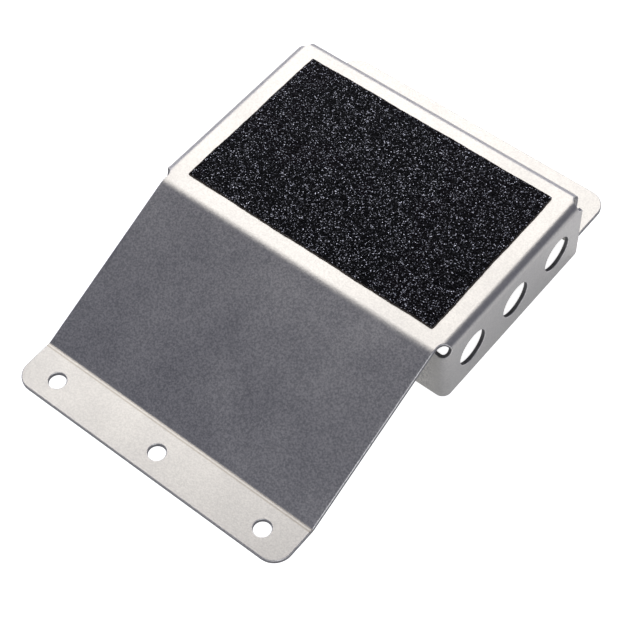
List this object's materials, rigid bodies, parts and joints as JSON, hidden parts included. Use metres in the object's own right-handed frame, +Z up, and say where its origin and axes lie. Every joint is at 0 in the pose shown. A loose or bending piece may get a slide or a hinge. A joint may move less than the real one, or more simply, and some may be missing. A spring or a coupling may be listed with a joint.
{
  "type": "tailgate step",
  "caption": "Folded sheet metal step with a ramp, a raised platform with a coarse grip pad, drilled mounting flanges and pierced side flanges.",
  "frame": {"origin": "centre of the footprint, on the mounting plane under both flanges", "axes": "+X to the right across the ramp, +Y from the front flange to the rear flange, +Z up from the mounting plane to the tread"},
  "size_m": [0.18, 0.272, 0.0442],
  "materials": {
    "folded_sheet": "satin mill finish with fine grain, deburred edges",
    "adhesive_film": "dull amber-brown pressure-sensitive film",
    "carrier_film": "matt black film, brown at the cut edge",
    "abrasive_grit": "coarse mineral grit bonded in black resin, with small glints"
  },
  "bodies": {
    "root": {"step_plate": "folded_sheet", "pad_adhesive": "adhesive_film", "pad_backing": "carrier_film", "pad_grit": "abrasive_grit"}
  },
  "joints": []
}
